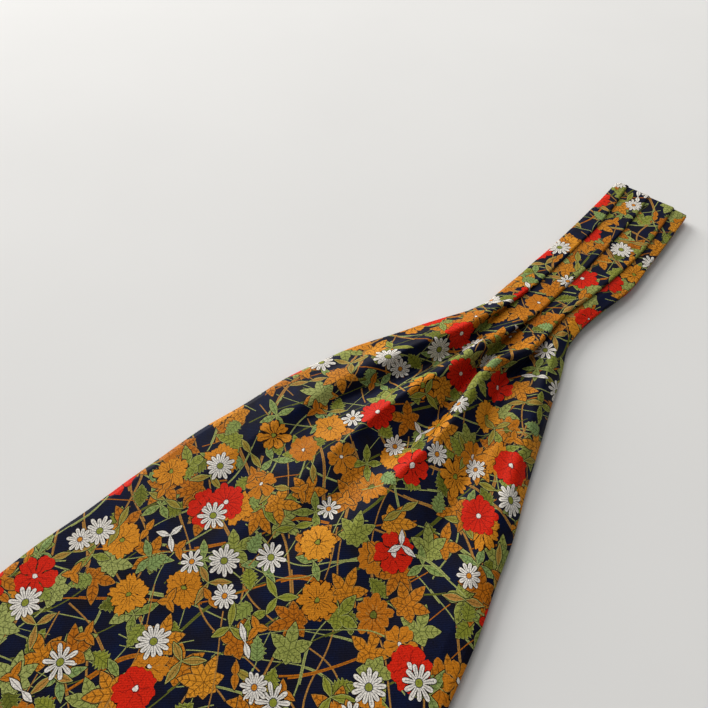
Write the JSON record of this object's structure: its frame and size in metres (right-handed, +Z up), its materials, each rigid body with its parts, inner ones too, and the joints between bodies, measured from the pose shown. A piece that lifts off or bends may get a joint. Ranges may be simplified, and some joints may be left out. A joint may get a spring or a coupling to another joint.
{
  "type": "silk cravat",
  "caption": "Day cravat of floral printed silk, folded in half at its pleated neckband and laid flat, its wide pointed blades on each other.",
  "frame": {"origin": "centre of the cravat's footprint on the table", "axes": "+Z up off the table, +Y along the cravat towards the fold in its neckband, +X to the right as seen from the points with the face up"},
  "size_m": [0.1656, 0.59, 0.0147],
  "materials": {
    "printed_silk": "silk twill with a soft satin sheen, printed with small flowers and leaves on navy",
    "silk_lining": "the same printed silk twill, used as the blades' lining",
    "silk_thread": "fine navy silk thread"
  },
  "bodies": {
    "root": {"upper_blade_front": "printed_silk", "upper_blade_back": "silk_lining", "lower_blade_back": "silk_lining", "lower_blade_front": "printed_silk", "neckband_upper": "printed_silk", "neckband_turn": "printed_silk", "neckband_lower": "printed_silk"}
  },
  "joints": []
}
